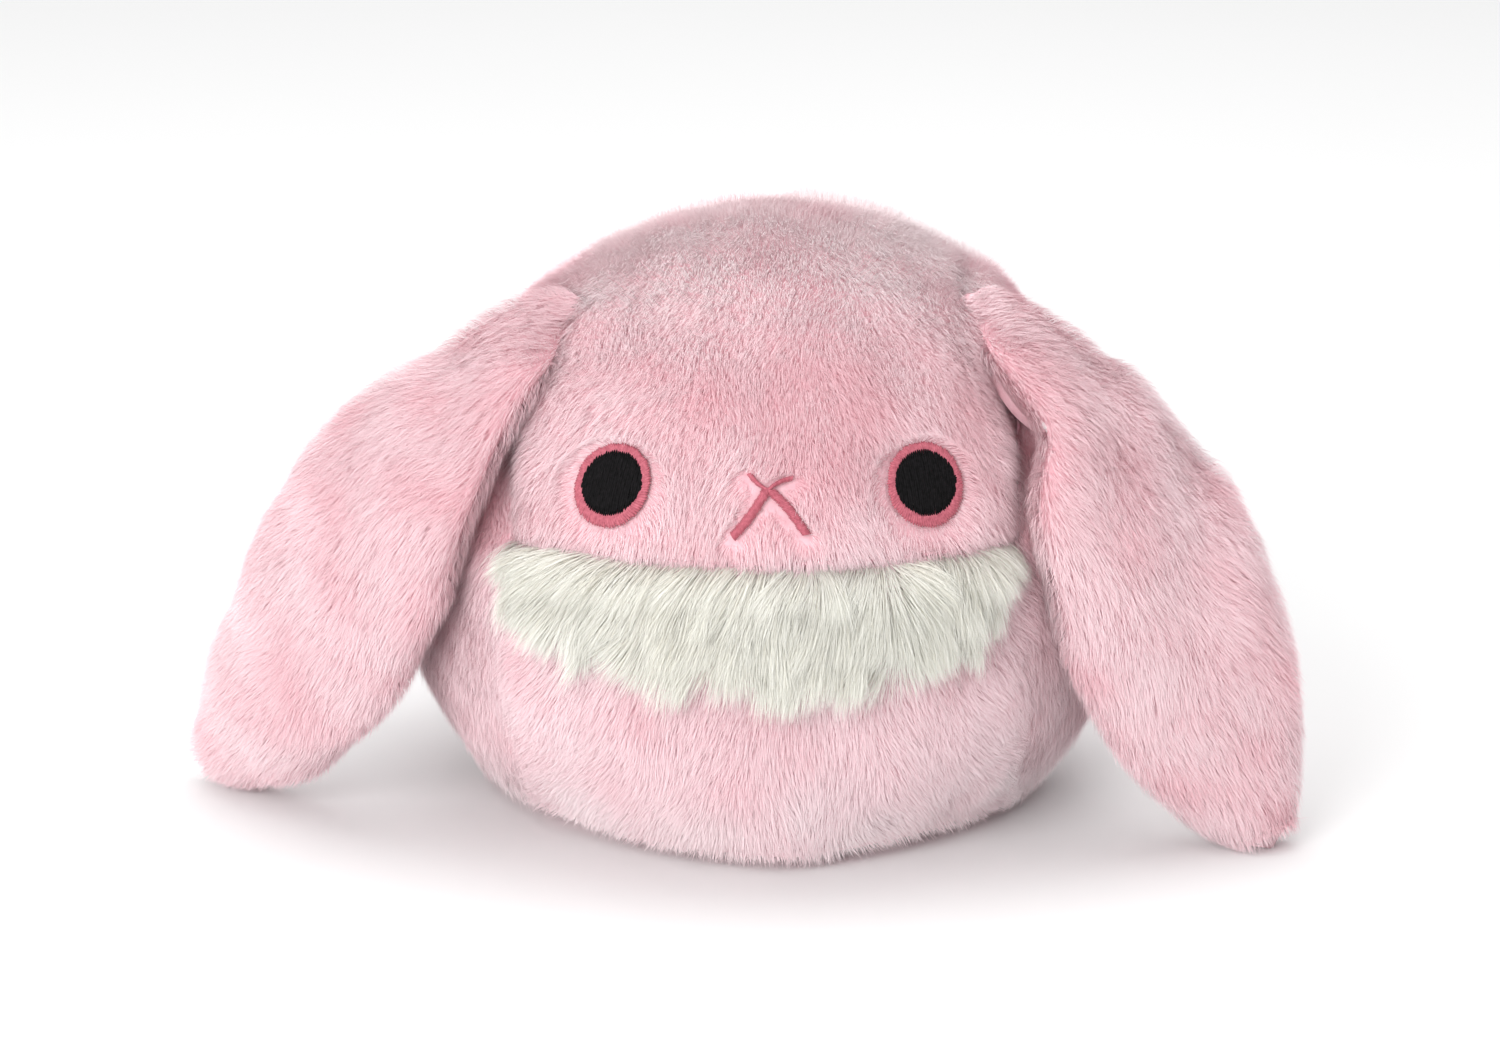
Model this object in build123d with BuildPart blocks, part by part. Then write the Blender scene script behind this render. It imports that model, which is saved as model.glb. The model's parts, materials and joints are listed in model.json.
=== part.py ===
"""Stuffed lop-eared bunny: a flat-bottomed ball with two drooping ears and a fur ruff.

Frame: origin at the centre of the base's underside, +Z up, face towards -Y, so the bunny's
right ear is on -X, which the names call left, as someone facing the bunny sees it.
Units: millimetres and degrees.
"""

from build123d import *
from math import cos, radians, sin, sqrt
import os

# --- Ball: the head and body are one flat-bottomed ball -------------------------------------
BALL_RADIUS = 44.0
BALL_CENTRE_HEIGHT = 29.5
PLUSH_THICKNESS = 2.5
SIDE_SEAM_X = 31.0
CROWN_SEAM_Y = 4.0
NECK_SEAM_HEIGHT = 40.0
SIDE_PANEL_LOW = 3.4
SIDE_THREAD_GAP = 34.0
BASE_THICKNESS = 2.5
BEYOND = 100.0

# --- Threads ---------------------------------------------------------------------------------
THREAD_RADIUS = 0.3
THREAD_GROOVE_RADIUS = 0.4
THREAD_DEPTH = 0.15
EMBROIDERY_THICKNESS = 0.4
EMBROIDERY_LIFT = 0.05

# --- Face: each place is an azimuth from straight ahead and an elevation, seen from the centre
EYE_AZIMUTH = 27.0
EYE_ELEVATION = 24.6
PUPIL_RADIUS = 4.1
EYE_RING_RADIUS = 5.1
EYE_RING_GAP = 0.05
NOSE_ELEVATION = 24.1
NOSE_STITCH_WIDTH = 0.55
MOUTH_STITCH_WIDTH = 1.05
MOUTH_HALF_WIDTH = 4.2
MOUTH_DROP = 4.8
MOUTH_ARM_SAG = 0.5
NOSE_HALF_WIDTH = 2.5
NOSE_RISE = 2.1
NOSE_GAP = 0.7
BACKING_HALF_WIDTH = 27.0
BACKING_LOW, BACKING_HIGH = 43.0, 58.0
BACKING_THICKNESS = 0.4
INNER_GAP = 0.1

# --- Ruff ------------------------------------------------------------------------------------
RUFF_LIFT = 0.3
RUFF_THICKNESS = 1.0
RUFF_HALF_WIDTH = 33.0
RUFF_TOP = NECK_SEAM_HEIGHT - 0.6
RUFF_END_HEIGHT = 31.5
RUFF_MIDDLE_HEIGHT = 22.0

# --- Filling ---------------------------------------------------------------------------------
POUCH_RADIUS = 25.0
POUCH_BOTTOM, POUCH_TOP = 2.8, 17.0
POUCH_WALL = 0.6
POUCH_EDGE_RADIUS = 3.0
PELLET_RADIUS = 2.5
PELLET_PITCH_RADIUS = 2.8
PELLET_COLUMNS, PELLET_ROWS = 9, 9
PELLET_LAYERS = 2
PELLET_LAYER_PITCH = 5.3
PELLET_BED_RADIUS = POUCH_RADIUS - POUCH_WALL - PELLET_RADIUS - 0.4

# --- Tail and the seam that the toy is closed with ---------------------------------------------
TAIL_RADIUS = 7.5
TAIL_ELEVATION = -20.0
TAIL_GAP = 0.3
CLOSING_STITCHES = 8
CLOSING_STITCH_PITCH = 2.0
CLOSING_STITCH_LENGTH = 2.6
CLOSING_STITCH_RADIUS = 0.2
CLOSING_STITCH_LOWEST = 25.0

# --- Ears --------------------------------------------------------------------------------------
EAR_ROOT_AZIMUTH = 62.0
EAR_ROOT_ELEVATION = 36.5
EAR_HINGE_HEIGHT = 4.7
EAR_ROOT_GAP = 0.3
EAR_ROOT_THICKNESS = 1.0
EAR_ROOT_RADIUS = 7.0
EAR_PLUSH_THICKNESS = 1.5
EAR_THINNEST_SHARE = 0.6
EAR_WADDING_GAP = 0.3
# Along the ear from its hinge, height over the hinge, half width, half thickness, twist, forwards.
EAR_STATIONS = {
    "left": [
        (-2.0, 0.0, 8.0, 1.2, 0.0, 1.0),
        (2.0, -0.7, 9.4, 2.5, 2.0, 2.1),
        (9.0, -0.3, 12.1, 3.4, 11.0, 4.1),
        (20.0, -2.5, 13.7, 4.8, 22.0, 6.1),
        (32.0, -6.9, 13.5, 5.6, 32.0, 5.7),
        (44.0, -11.8, 11.5, 5.3, 36.0, 3.8),
        (54.0, -15.5, 8.6, 4.4, 40.0, 0.8),
        (61.0, -17.9, 5.2, 3.0, 42.0, -2.3),
        (65.0, -19.6, 3.1, 1.5, 44.0, -5.3),
    ],
    "right": [
        (-2.0, 0.4, 8.0, 1.2, 0.0, 1.0),
        (2.0, 0.8, 8.6, 2.5, 0.0, 1.7),
        (8.5, 0.8, 11.2, 3.4, 7.0, 2.4),
        (18.5, -2.2, 14.4, 4.8, 20.0, 4.8),
        (30.0, -6.0, 13.4, 5.6, 37.0, 5.4),
        (41.0, -11.3, 12.0, 5.3, 52.0, 3.8),
        (50.5, -15.2, 8.9, 4.4, 56.0, 2.5),
        (57.0, -16.7, 5.4, 3.0, 52.0, 2.5),
        (60.5, -17.3, 2.6, 1.5, 47.0, 3.3),
    ],
}
# How each ear leaves the ball: sweep to the back and lift.
EARS = {"left": (26.0, 3.5), "right": (8.0, 4.6)}


def ball_point(azimuth, elevation, radius):
    """The point at that distance from the ball's centre; azimuth 0 is the face, -90 is -X."""
    level = radius * cos(radians(elevation))
    return Vector(
        level * sin(radians(azimuth)),
        -level * cos(radians(azimuth)),
        BALL_CENTRE_HEIGHT + radius * sin(radians(elevation)),
    )


def facing_plane(azimuth, elevation, radius):
    """The plane that touches a ball of that radius there, with its local Y pointing up."""
    outwards = ball_point(azimuth, elevation, 1.0) - Vector(0, 0, BALL_CENTRE_HEIGHT)
    across = Vector(cos(radians(azimuth)), sin(radians(azimuth)), 0)
    return Plane(ball_point(azimuth, elevation, radius), x_dir=across, z_dir=outwards)


def add_ball(radius, mode=Mode.ADD):
    with Locations((0, 0, BALL_CENTRE_HEIGHT)):
        Sphere(radius, mode=mode)


def add_shell(outer_radius, inner_radius, mode=Mode.ADD):
    """A hollow ball between the two radii, added to or kept from the part in hand."""
    outside = Sphere(outer_radius, mode=Mode.PRIVATE)
    hollow = outside - Sphere(inner_radius, mode=Mode.PRIVATE)
    add(Pos(0, 0, BALL_CENTRE_HEIGHT) * hollow, mode=mode)


def keep_between(low, high):
    """Keeps what lies in the box between two opposite corners."""
    size = [b - a for a, b in zip(low, high)]
    middle = [(a + b) / 2 for a, b in zip(low, high)]
    with Locations(tuple(middle)):
        Box(*size, mode=Mode.INTERSECT)


def side_seam(side, radius, gap=0.0):
    """The ring where a side panel meets the others; it can stop gap degrees from its lowest."""
    ring = sqrt((BALL_RADIUS - THREAD_DEPTH) ** 2 - SIDE_SEAM_X**2)
    thread = Torus(ring, radius, major_angle=360 - 2 * gap, mode=Mode.PRIVATE)
    place = Pos(side * SIDE_SEAM_X, 0, BALL_CENTRE_HEIGHT)
    return place * Rot(0, 90, 0) * Rot(0, 0, gap) * thread


def level_seam(height, radius):
    """The ring of a seam that runs level round the ball."""
    ring = sqrt((BALL_RADIUS - THREAD_DEPTH) ** 2 - (height - BALL_CENTRE_HEIGHT) ** 2)
    return Pos(0, 0, height) * Torus(ring, radius, mode=Mode.PRIVATE)


def cut_grooves(heights):
    """The seams pull in, so each panel's edges leave room for the threads."""
    for height in heights:
        add(level_seam(height, THREAD_GROOVE_RADIUS), mode=Mode.SUBTRACT)
    for side in (-1, 1):
        add(side_seam(side, THREAD_GROOVE_RADIUS), mode=Mode.SUBTRACT)


def add_panel(low, high):
    """A piece of the plush shell that lies between two corners, with its seams' grooves."""
    add_shell(BALL_RADIUS, BALL_RADIUS - PLUSH_THICKNESS)
    keep_between(low, high)
    cut_grooves([h for h in (BASE_THICKNESS, NECK_SEAM_HEIGHT) if h in (low[2], high[2])])


def save(part, label):
    part.label = label
    export_step(part, f"parts/{label}.step")


os.makedirs("parts", exist_ok=True)

# --- Plush panels ------------------------------------------------------------------------------

with BuildPart() as face_panel:
    add_panel(
        (-SIDE_SEAM_X, -BEYOND, NECK_SEAM_HEIGHT), (SIDE_SEAM_X, CROWN_SEAM_Y, BEYOND)
    )
save(face_panel.part, "face_panel")

with BuildPart() as belly_panel:
    add_panel(
        (-SIDE_SEAM_X, -BEYOND, BASE_THICKNESS), (SIDE_SEAM_X, CROWN_SEAM_Y, NECK_SEAM_HEIGHT)
    )
save(belly_panel.part, "belly_panel")

for name, low_x, high_x in (("left", -SIDE_SEAM_X, 0.0), ("right", 0.0, SIDE_SEAM_X)):
    with BuildPart() as back_panel:
        add_panel((low_x, CROWN_SEAM_Y, BASE_THICKNESS), (high_x, BEYOND, BEYOND))
    save(back_panel.part, f"back_panel_{name}")

for name, low_x, high_x in (("left", -BEYOND, -SIDE_SEAM_X), ("right", SIDE_SEAM_X, BEYOND)):
    with BuildPart() as side_panel:
        add_panel((low_x, -BEYOND, SIDE_PANEL_LOW), (high_x, BEYOND, BEYOND))
    save(side_panel.part, f"side_panel_{name}")

with BuildPart() as base_panel:
    add_ball(BALL_RADIUS)
    keep_between((-BEYOND, -BEYOND, 0), (BEYOND, BEYOND, BASE_THICKNESS))
    cut_grooves([BASE_THICKNESS])
save(base_panel.part, "base_panel")

# --- Seam threads ------------------------------------------------------------------------------

for name, side in (("left", -1), ("right", 1)):
    with BuildPart() as side_thread:
        add(side_seam(side, THREAD_RADIUS, gap=SIDE_THREAD_GAP))
    save(side_thread.part, f"side_seam_thread_{name}")

with BuildPart() as base_thread:
    add(level_seam(BASE_THICKNESS, THREAD_RADIUS))
save(base_thread.part, "base_seam_thread")

with BuildPart() as neck_thread:
    add(level_seam(NECK_SEAM_HEIGHT, THREAD_RADIUS))
    keep_between((1 - SIDE_SEAM_X, -BEYOND, 0), (SIDE_SEAM_X - 1, CROWN_SEAM_Y - 1, BEYOND))
save(neck_thread.part, "neck_seam_thread")

# The back is closed by hand with a ladder of short stitches across its middle seam.
with BuildPart() as closing_stitch:
    ladder_radius = BALL_RADIUS + EMBROIDERY_LIFT + CLOSING_STITCH_RADIUS
    for rung in range(CLOSING_STITCHES):
        height = CLOSING_STITCH_LOWEST + rung * CLOSING_STITCH_PITCH - BALL_CENTRE_HEIGHT
        depth = sqrt(ladder_radius**2 - height**2)
        with Locations((0, depth, height + BALL_CENTRE_HEIGHT)):
            Cylinder(CLOSING_STITCH_RADIUS, CLOSING_STITCH_LENGTH, rotation=(0, 90, 0))
save(closing_stitch.part, "closing_stitch")

# --- Embroidery --------------------------------------------------------------------------------


def keep_on_face():
    """Keeps the skin of thread that lies on the plush."""
    low = BALL_RADIUS + EMBROIDERY_LIFT
    add_shell(low + EMBROIDERY_THICKNESS, low, mode=Mode.INTERSECT)


for name, side in (("left", -1), ("right", 1)):
    eye_plane = facing_plane(side * EYE_AZIMUTH, EYE_ELEVATION, BALL_RADIUS)
    with BuildPart() as pupil:
        with BuildSketch(eye_plane):
            Circle(PUPIL_RADIUS)
        extrude(amount=PUPIL_RADIUS, both=True)
        keep_on_face()
    save(pupil.part, f"eye_pupil_{name}")

    with BuildPart() as ring:
        with BuildSketch(eye_plane):
            Circle(EYE_RING_RADIUS)
            Circle(PUPIL_RADIUS + EYE_RING_GAP, mode=Mode.SUBTRACT)
        extrude(amount=PUPIL_RADIUS, both=True)
        keep_on_face()
    save(ring.part, f"eye_ring_{name}")

nose_plane = facing_plane(0, NOSE_ELEVATION, BALL_RADIUS)

for name, side in (("left", -1), ("right", 1)):
    with BuildPart() as mouth_arm:
        with BuildSketch(nose_plane):
            with BuildLine():
                SagittaArc(
                    (side * MOUTH_STITCH_WIDTH * 0.6, -0.3),
                    (side * MOUTH_HALF_WIDTH, -MOUTH_DROP),
                    -side * MOUTH_ARM_SAG,
                )
            trace(line_width=MOUTH_STITCH_WIDTH)
        extrude(amount=MOUTH_DROP, both=True)
        keep_on_face()
    save(mouth_arm.part, f"mouth_stitch_{name}")

with BuildPart() as nose_stitch:
    with BuildSketch(nose_plane):
        for side in (-1, 1):
            with BuildLine():
                Line((side * NOSE_GAP, NOSE_GAP), (side * NOSE_HALF_WIDTH, NOSE_RISE))
            trace(line_width=NOSE_STITCH_WIDTH)
    extrude(amount=NOSE_RISE, both=True)
    keep_on_face()
save(nose_stitch.part, "nose_stitch")

with BuildPart() as backing:
    backing_radius = BALL_RADIUS - PLUSH_THICKNESS - INNER_GAP
    add_shell(backing_radius, backing_radius - BACKING_THICKNESS)
    keep_between(
        (-BACKING_HALF_WIDTH, -BEYOND, BACKING_LOW), (BACKING_HALF_WIDTH, 0, BACKING_HIGH)
    )
save(backing.part, "embroidery_backing")

# --- Ruff and tail -----------------------------------------------------------------------------

with BuildPart() as ruff:
    with BuildSketch(Plane.XZ):
        with BuildLine():
            Line((-RUFF_HALF_WIDTH, RUFF_TOP), (RUFF_HALF_WIDTH, RUFF_TOP))
            Line((RUFF_HALF_WIDTH, RUFF_TOP), (RUFF_HALF_WIDTH, RUFF_END_HEIGHT))
            ThreePointArc(
                (RUFF_HALF_WIDTH, RUFF_END_HEIGHT),
                (0, RUFF_MIDDLE_HEIGHT),
                (-RUFF_HALF_WIDTH, RUFF_END_HEIGHT),
            )
            Line((-RUFF_HALF_WIDTH, RUFF_END_HEIGHT), (-RUFF_HALF_WIDTH, RUFF_TOP))
        make_face()
    extrude(amount=BEYOND)
    ruff_radius = BALL_RADIUS + RUFF_LIFT
    add_shell(ruff_radius + RUFF_THICKNESS, ruff_radius, mode=Mode.INTERSECT)
save(ruff.part, "fur_ruff")

with BuildPart() as tail:
    with Locations(ball_point(180, TAIL_ELEVATION, BALL_RADIUS + TAIL_RADIUS + TAIL_GAP)):
        Sphere(TAIL_RADIUS)
save(tail.part, "tail_puff")

# --- Filling -----------------------------------------------------------------------------------


def add_pouch(grow, mode=Mode.ADD):
    """The round bag of pellets, larger all round by grow."""
    radius, height = POUCH_RADIUS + grow, POUCH_TOP - POUCH_BOTTOM + 2 * grow
    with BuildSketch(Plane.XZ) as outline:
        with Locations((radius / 2, (POUCH_BOTTOM + POUCH_TOP) / 2)):
            Rectangle(radius, height)
        fillet(outline.vertices().group_by(Axis.X)[-1], POUCH_EDGE_RADIUS + grow)
    revolve(outline.sketch, axis=Axis.Z, mode=mode)


with BuildPart() as pouch:
    add_pouch(0)
    add_pouch(-POUCH_WALL, mode=Mode.SUBTRACT)
save(pouch.part, "pellet_pouch")

with BuildPart() as pellets:
    lowest = POUCH_BOTTOM + POUCH_WALL + PELLET_RADIUS + INNER_GAP
    with HexLocations(PELLET_PITCH_RADIUS, PELLET_COLUMNS, PELLET_ROWS) as bed:
        spots = [spot.position for spot in bed.local_locations]
    for layer in range(PELLET_LAYERS):
        up = Vector(0, 0, lowest + layer * PELLET_LAYER_PITCH)
        with Locations(*[spot + up for spot in spots if spot.length < PELLET_BED_RADIUS]):
            Sphere(PELLET_RADIUS)
save(pellets.part, "pellets")

with BuildPart() as stuffing:
    add_ball(backing_radius - BACKING_THICKNESS - INNER_GAP)
    keep_between((-BEYOND, -BEYOND, BASE_THICKNESS + INNER_GAP), (BEYOND, BEYOND, BEYOND))
    add_pouch(INNER_GAP, mode=Mode.SUBTRACT)
save(stuffing.part, "body_stuffing")

# --- Ears --------------------------------------------------------------------------------------


def ear_axes(sweep, lift):
    """A left ear's hinge point, and its directions: along, out of the ball, to its front."""
    root = facing_plane(-EAR_ROOT_AZIMUTH, EAR_ROOT_ELEVATION, BALL_RADIUS)
    hinge = root.origin + root.z_dir * EAR_HINGE_HEIGHT
    along = root.y_dir * -cos(radians(sweep)) - root.x_dir * sin(radians(sweep))
    front = root.z_dir.cross(along)
    lifted = along * cos(radians(lift)) + root.z_dir * sin(radians(lift))
    outwards = root.z_dir * cos(radians(lift)) - along * sin(radians(lift))
    return hinge, lifted, outwards, front


def ear_planes(sweep, lift, stations):
    """A left ear's cross-section planes, with X to its front edge and Y to its outer face."""
    hinge, along, outwards, front = ear_axes(sweep, lift)
    middles = [hinge + along * s[0] + outwards * s[1] + front * s[5] for s in stations]
    planes = []
    for i, (middle, station) in enumerate(zip(middles, stations)):
        before, after = middles[max(i - 1, 0)], middles[min(i + 1, len(middles) - 1)]
        run = (after - before).normalized()
        twist = radians(station[4])
        width = front * cos(twist) - run.cross(front) * sin(twist)
        planes.append(Plane(middle, x_dir=width, z_dir=run))
    return planes


def plush_thickness(half_thickness):
    """An ear's fabric; the seam presses it thinner where the ear ends."""
    return min(EAR_PLUSH_THICKNESS, half_thickness * EAR_THINNEST_SHARE)


def add_ear_half(planes, stations, start_angle):
    """The fabric on one face of the ear: a crescent section, from one edge to the other."""
    sections = []
    for plane, (half_width, half_thickness) in zip(planes, [s[2:4] for s in stations]):
        thickness = plush_thickness(half_thickness)
        inner = (half_width - thickness, half_thickness - thickness)
        with BuildSketch(plane) as section:
            with BuildLine():
                EllipticalCenterArc(
                    (0, 0), half_width, half_thickness, start_angle, arc_size=180
                )
                EllipticalCenterArc((0, 0), *inner, start_angle=start_angle, arc_size=180)
                for edge in (-1, 1):
                    Line((edge * half_width, 0), (edge * inner[0], 0))
            make_face()
        sections.append(section.sketch.face())
    loft(sections)


def add_ear_wadding(planes, stations):
    """The filling between the two fabrics; it ends short of the root and the tip."""
    sections = []
    for plane, (half_width, half_thickness) in list(zip(planes, [s[2:4] for s in stations]))[1:-1]:
        shrink = plush_thickness(half_thickness) + EAR_WADDING_GAP
        radii = (half_width - shrink, half_thickness - shrink)
        with BuildSketch(plane) as section:
            with BuildLine():
                EllipticalCenterArc((0, 0), *radii, start_angle=0, arc_size=180)
                EllipticalCenterArc((0, 0), *radii, start_angle=180, arc_size=180)
            make_face()
        sections.append(section.sketch.face())
    loft(sections)


def save_ear_piece(part, label, name):
    """Both ears are made on the -X side, and the right one's pieces are mirrored."""
    save(part.mirror(Plane.YZ) if name == "right" else part, f"{label}_{name}")


for name, (sweep, lift) in EARS.items():
    root_plane = facing_plane(-EAR_ROOT_AZIMUTH, EAR_ROOT_ELEVATION, BALL_RADIUS)
    with BuildPart() as ear_root:
        with BuildSketch(root_plane):
            Circle(EAR_ROOT_RADIUS)
        extrude(amount=EAR_ROOT_RADIUS, both=True)
        root_low = BALL_RADIUS + EAR_ROOT_GAP
        add_shell(root_low + EAR_ROOT_THICKNESS, root_low, mode=Mode.INTERSECT)
    save_ear_piece(ear_root.part, "ear_root", name)

    stations = EAR_STATIONS[name]
    planes = ear_planes(sweep, lift, stations)
    for label, start_angle in (("ear_front_panel", 0), ("ear_back_panel", 180)):
        with BuildPart() as ear_half:
            add_ear_half(planes, stations, start_angle)
        save_ear_piece(ear_half.part, label, name)

    with BuildPart() as ear_wadding:
        add_ear_wadding(planes, stations)
    save_ear_piece(ear_wadding.part, "ear_wadding", name)
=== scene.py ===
"""Looks of the stuffed lop-eared bunny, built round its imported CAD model.

Lengths are in millimetres until a mesh is made, and angles are in degrees. Azimuth 0 is the
face, and -90 is -X. The pile is real: each fibre is a thin tapered ribbon.
"""
import json
import math

import bmesh
import bpy
import numpy as np
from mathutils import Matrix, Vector, kdtree


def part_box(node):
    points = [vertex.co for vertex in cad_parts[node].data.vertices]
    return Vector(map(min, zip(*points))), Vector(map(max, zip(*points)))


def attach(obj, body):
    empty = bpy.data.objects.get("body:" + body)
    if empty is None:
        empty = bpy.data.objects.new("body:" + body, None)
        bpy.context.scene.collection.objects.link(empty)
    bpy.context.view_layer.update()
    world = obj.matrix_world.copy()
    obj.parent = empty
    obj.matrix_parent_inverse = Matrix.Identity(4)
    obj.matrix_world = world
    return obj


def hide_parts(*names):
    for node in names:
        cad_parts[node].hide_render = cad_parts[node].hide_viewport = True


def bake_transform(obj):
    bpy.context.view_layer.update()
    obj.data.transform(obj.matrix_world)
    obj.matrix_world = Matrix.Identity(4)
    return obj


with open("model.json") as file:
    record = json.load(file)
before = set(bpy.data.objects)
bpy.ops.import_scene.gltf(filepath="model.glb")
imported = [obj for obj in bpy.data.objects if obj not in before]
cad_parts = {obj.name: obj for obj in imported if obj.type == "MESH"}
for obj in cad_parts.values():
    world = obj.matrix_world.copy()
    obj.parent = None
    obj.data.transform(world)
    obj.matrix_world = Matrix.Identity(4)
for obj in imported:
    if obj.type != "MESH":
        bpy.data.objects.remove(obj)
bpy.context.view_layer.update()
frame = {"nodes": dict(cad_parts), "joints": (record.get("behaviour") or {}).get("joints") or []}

MM = 0.001

# --- Sizes that follow the CAD model --------------------------------------------------
BALL_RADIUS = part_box("side_panel_right")[1].x / MM
CENTRE = np.array([0.0, 0.0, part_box("face_panel")[1].z / MM - BALL_RADIUS])
SIDE_SEAM_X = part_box("face_panel")[1].x / MM
NECK_SEAM_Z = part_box("face_panel")[0].z / MM
CROWN_SEAM_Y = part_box("face_panel")[1].y / MM
BASE_SEAM_Z = 2.5
EYE_AZIMUTH, EYE_ELEVATION, NOSE_ELEVATION = 27.0, 24.6, 24.1
PUPIL_RADIUS, EYE_RING_RADIUS = 4.0, 4.95
EAR_ROOT_AZIMUTH, EAR_ROOT_ELEVATION = 62, 36.5
SKIN_THICKNESS, EAR_SKIN_THICKNESS = 1.0, 0.8
TAIL_SKIN_RADIUS = 5.4
THREAD_SIDES = 6
STITCH_PITCH, STITCH_LENGTH = 2.6, 1.9

# Along the ear from its hinge, height over the hinge, half width, half thickness, twist, forwards.
EAR_STATIONS = {
    "left": np.array([
        (-13.0, -5.8, 2.0, 0.8, 0.0, -3.2),
        (-9.0, -3.7, 4.4, 1.4, 0.0, -2.6),
        (-4.5, -1.7, 7.4, 2.0, 0.0, -0.8),
        (2.0, -0.7, 9.4, 2.5, 2.0, 2.1),
        (9.0, -0.3, 12.1, 3.4, 11.0, 4.1),
        (20.0, -2.5, 13.7, 4.8, 22.0, 6.1),
        (32.0, -6.9, 13.5, 5.6, 32.0, 5.7),
        (44.0, -11.8, 11.5, 5.3, 36.0, 3.8),
        (54.0, -15.5, 8.6, 4.4, 40.0, 0.8),
        (61.0, -17.9, 5.2, 3.0, 42.0, -2.3),
        (65.0, -19.6, 3.1, 1.5, 44.0, -5.3),
    ]),
    "right": np.array([
        (-13.0, -5.6, 2.0, 0.8, 0.0, -2.6),
        (-9.0, -3.4, 4.4, 1.4, 0.0, -2.0),
        (-4.5, -1.2, 7.2, 2.0, 0.0, -0.5),
        (2.0, 0.6, 8.6, 2.5, 0.0, 1.7),
        (8.5, 0.8, 11.2, 3.4, 7.0, 2.4),
        (18.5, -2.2, 14.4, 4.8, 20.0, 4.8),
        (30.0, -6.0, 13.4, 5.6, 37.0, 5.4),
        (41.0, -11.3, 12.0, 5.3, 52.0, 3.8),
        (50.5, -15.2, 8.9, 4.4, 56.0, 2.5),
        (57.0, -16.7, 5.4, 3.0, 52.0, 2.5),
        (60.5, -17.3, 2.6, 1.5, 47.0, 3.3),
    ]),
}
# How far each ear's line lies above the one that its joints give.
EAR_LIFT = {"left": 3.5, "right": 4.6}
EAR_ROWS, EAR_ROUND = 70, 72

# --- Pile -----------------------------------------------------------------------------
# Fibres to the square millimetre, and how wide one is at its root.
PILE_DENSITY = 25.0
RUFF_DENSITY = 48.0
FIBRE_WIDTH = 0.078
PILE_KNOTS, TAIL_KNOTS, RUFF_KNOTS = 3, 4, 5
ROOT_DEPTH = 0.2
MOST_TRIANGLES = 195000
FLOOR_CLEARANCE = 0.12
MM_PER_DEGREE = 0.77  # over the ball's surface, about
PATCHES_PER_METRE = 35.0
TINY = 1e-9


# --- Arithmetic -----------------------------------------------------------------------
def unit(v):
    return v / np.maximum(np.linalg.norm(v, axis=-1, keepdims=True), TINY)


def smoothstep(low, high, x):
    t = np.clip((x - low) / (high - low), 0, 1)
    return t * t * (3 - 2 * t)


def bump(x, width):
    return np.exp(-((x / width) ** 2))


def waves(points, size, seed):
    """Smooth random values, mostly from -1 to 1, that change over about that many millimetres."""
    rng = np.random.default_rng(seed)
    turns = unit(rng.normal(size=(8, 3))) * rng.uniform(0.7, 1.6, (8, 1)) * 2 * math.pi / size
    return np.sin(points @ turns.T + rng.uniform(0, 2 * math.pi, 8)).sum(1) / 2.8


def wave_vectors(points, size, seed):
    return np.stack([waves(points, size, seed + k) for k in range(3)], axis=1)


def tangent(vectors, normals):
    return unit(vectors - normals * (vectors * normals).sum(1, keepdims=True))


def ray(azimuth, elevation):
    """The unit direction from the ball's centre."""
    a, e = math.radians(azimuth), math.radians(elevation)
    return np.array([math.cos(e) * math.sin(a), -math.cos(e) * math.cos(a), math.sin(e)])


def curve_through(xs, ys, x):
    """A smooth curve through the points, with a slope at each from its two neighbours."""
    slopes = np.gradient(ys, xs)
    i = np.clip(np.searchsorted(xs, x) - 1, 0, len(xs) - 2)
    step = xs[i + 1] - xs[i]
    t = (x - xs[i]) / step
    return (
        (2 * t**3 - 3 * t**2 + 1) * ys[i]
        + (t**3 - 2 * t**2 + t) * step * slopes[i]
        + (-2 * t**3 + 3 * t**2) * ys[i + 1]
        + (t**3 - t**2) * step * slopes[i + 1]
    )


def vertex_normals(points, triangles):
    a, b, c = (points[triangles[:, k]] for k in range(3))
    faces = np.cross(b - a, c - a)
    normals = np.zeros_like(points)
    for k in range(3):
        np.add.at(normals, triangles[:, k], faces)
    return unit(normals)


def nearest(points, places):
    """For each place, the number of the point closest to it."""
    tree = kdtree.KDTree(len(points))
    for number, point in enumerate(points):
        tree.insert(point, number)
    tree.balance()
    return np.array([tree.find(place)[1] for place in places])


def unit_sphere(subdivisions):
    """A ball of triangles, as directions and corner numbers."""
    made = bmesh.new()
    bmesh.ops.create_icosphere(made, subdivisions=subdivisions, radius=1.0)
    rays = unit(np.array([v.co for v in made.verts]))
    triangles = np.array([[v.index for v in f.verts] for f in made.faces])
    made.free()
    return rays, triangles


def ring_triangles(rings, round_it):
    """The numbers of the points in each closed ring, and the triangles between the rings."""
    grid = np.arange(rings * round_it).reshape(rings, round_it)
    a, b = grid[:-1], grid[1:]
    c, d = np.roll(b, -1, 1), np.roll(a, -1, 1)
    quads = [np.stack([a, b, c], 2).reshape(-1, 3), np.stack([a, c, d], 2).reshape(-1, 3)]
    return grid, np.concatenate(quads)


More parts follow.
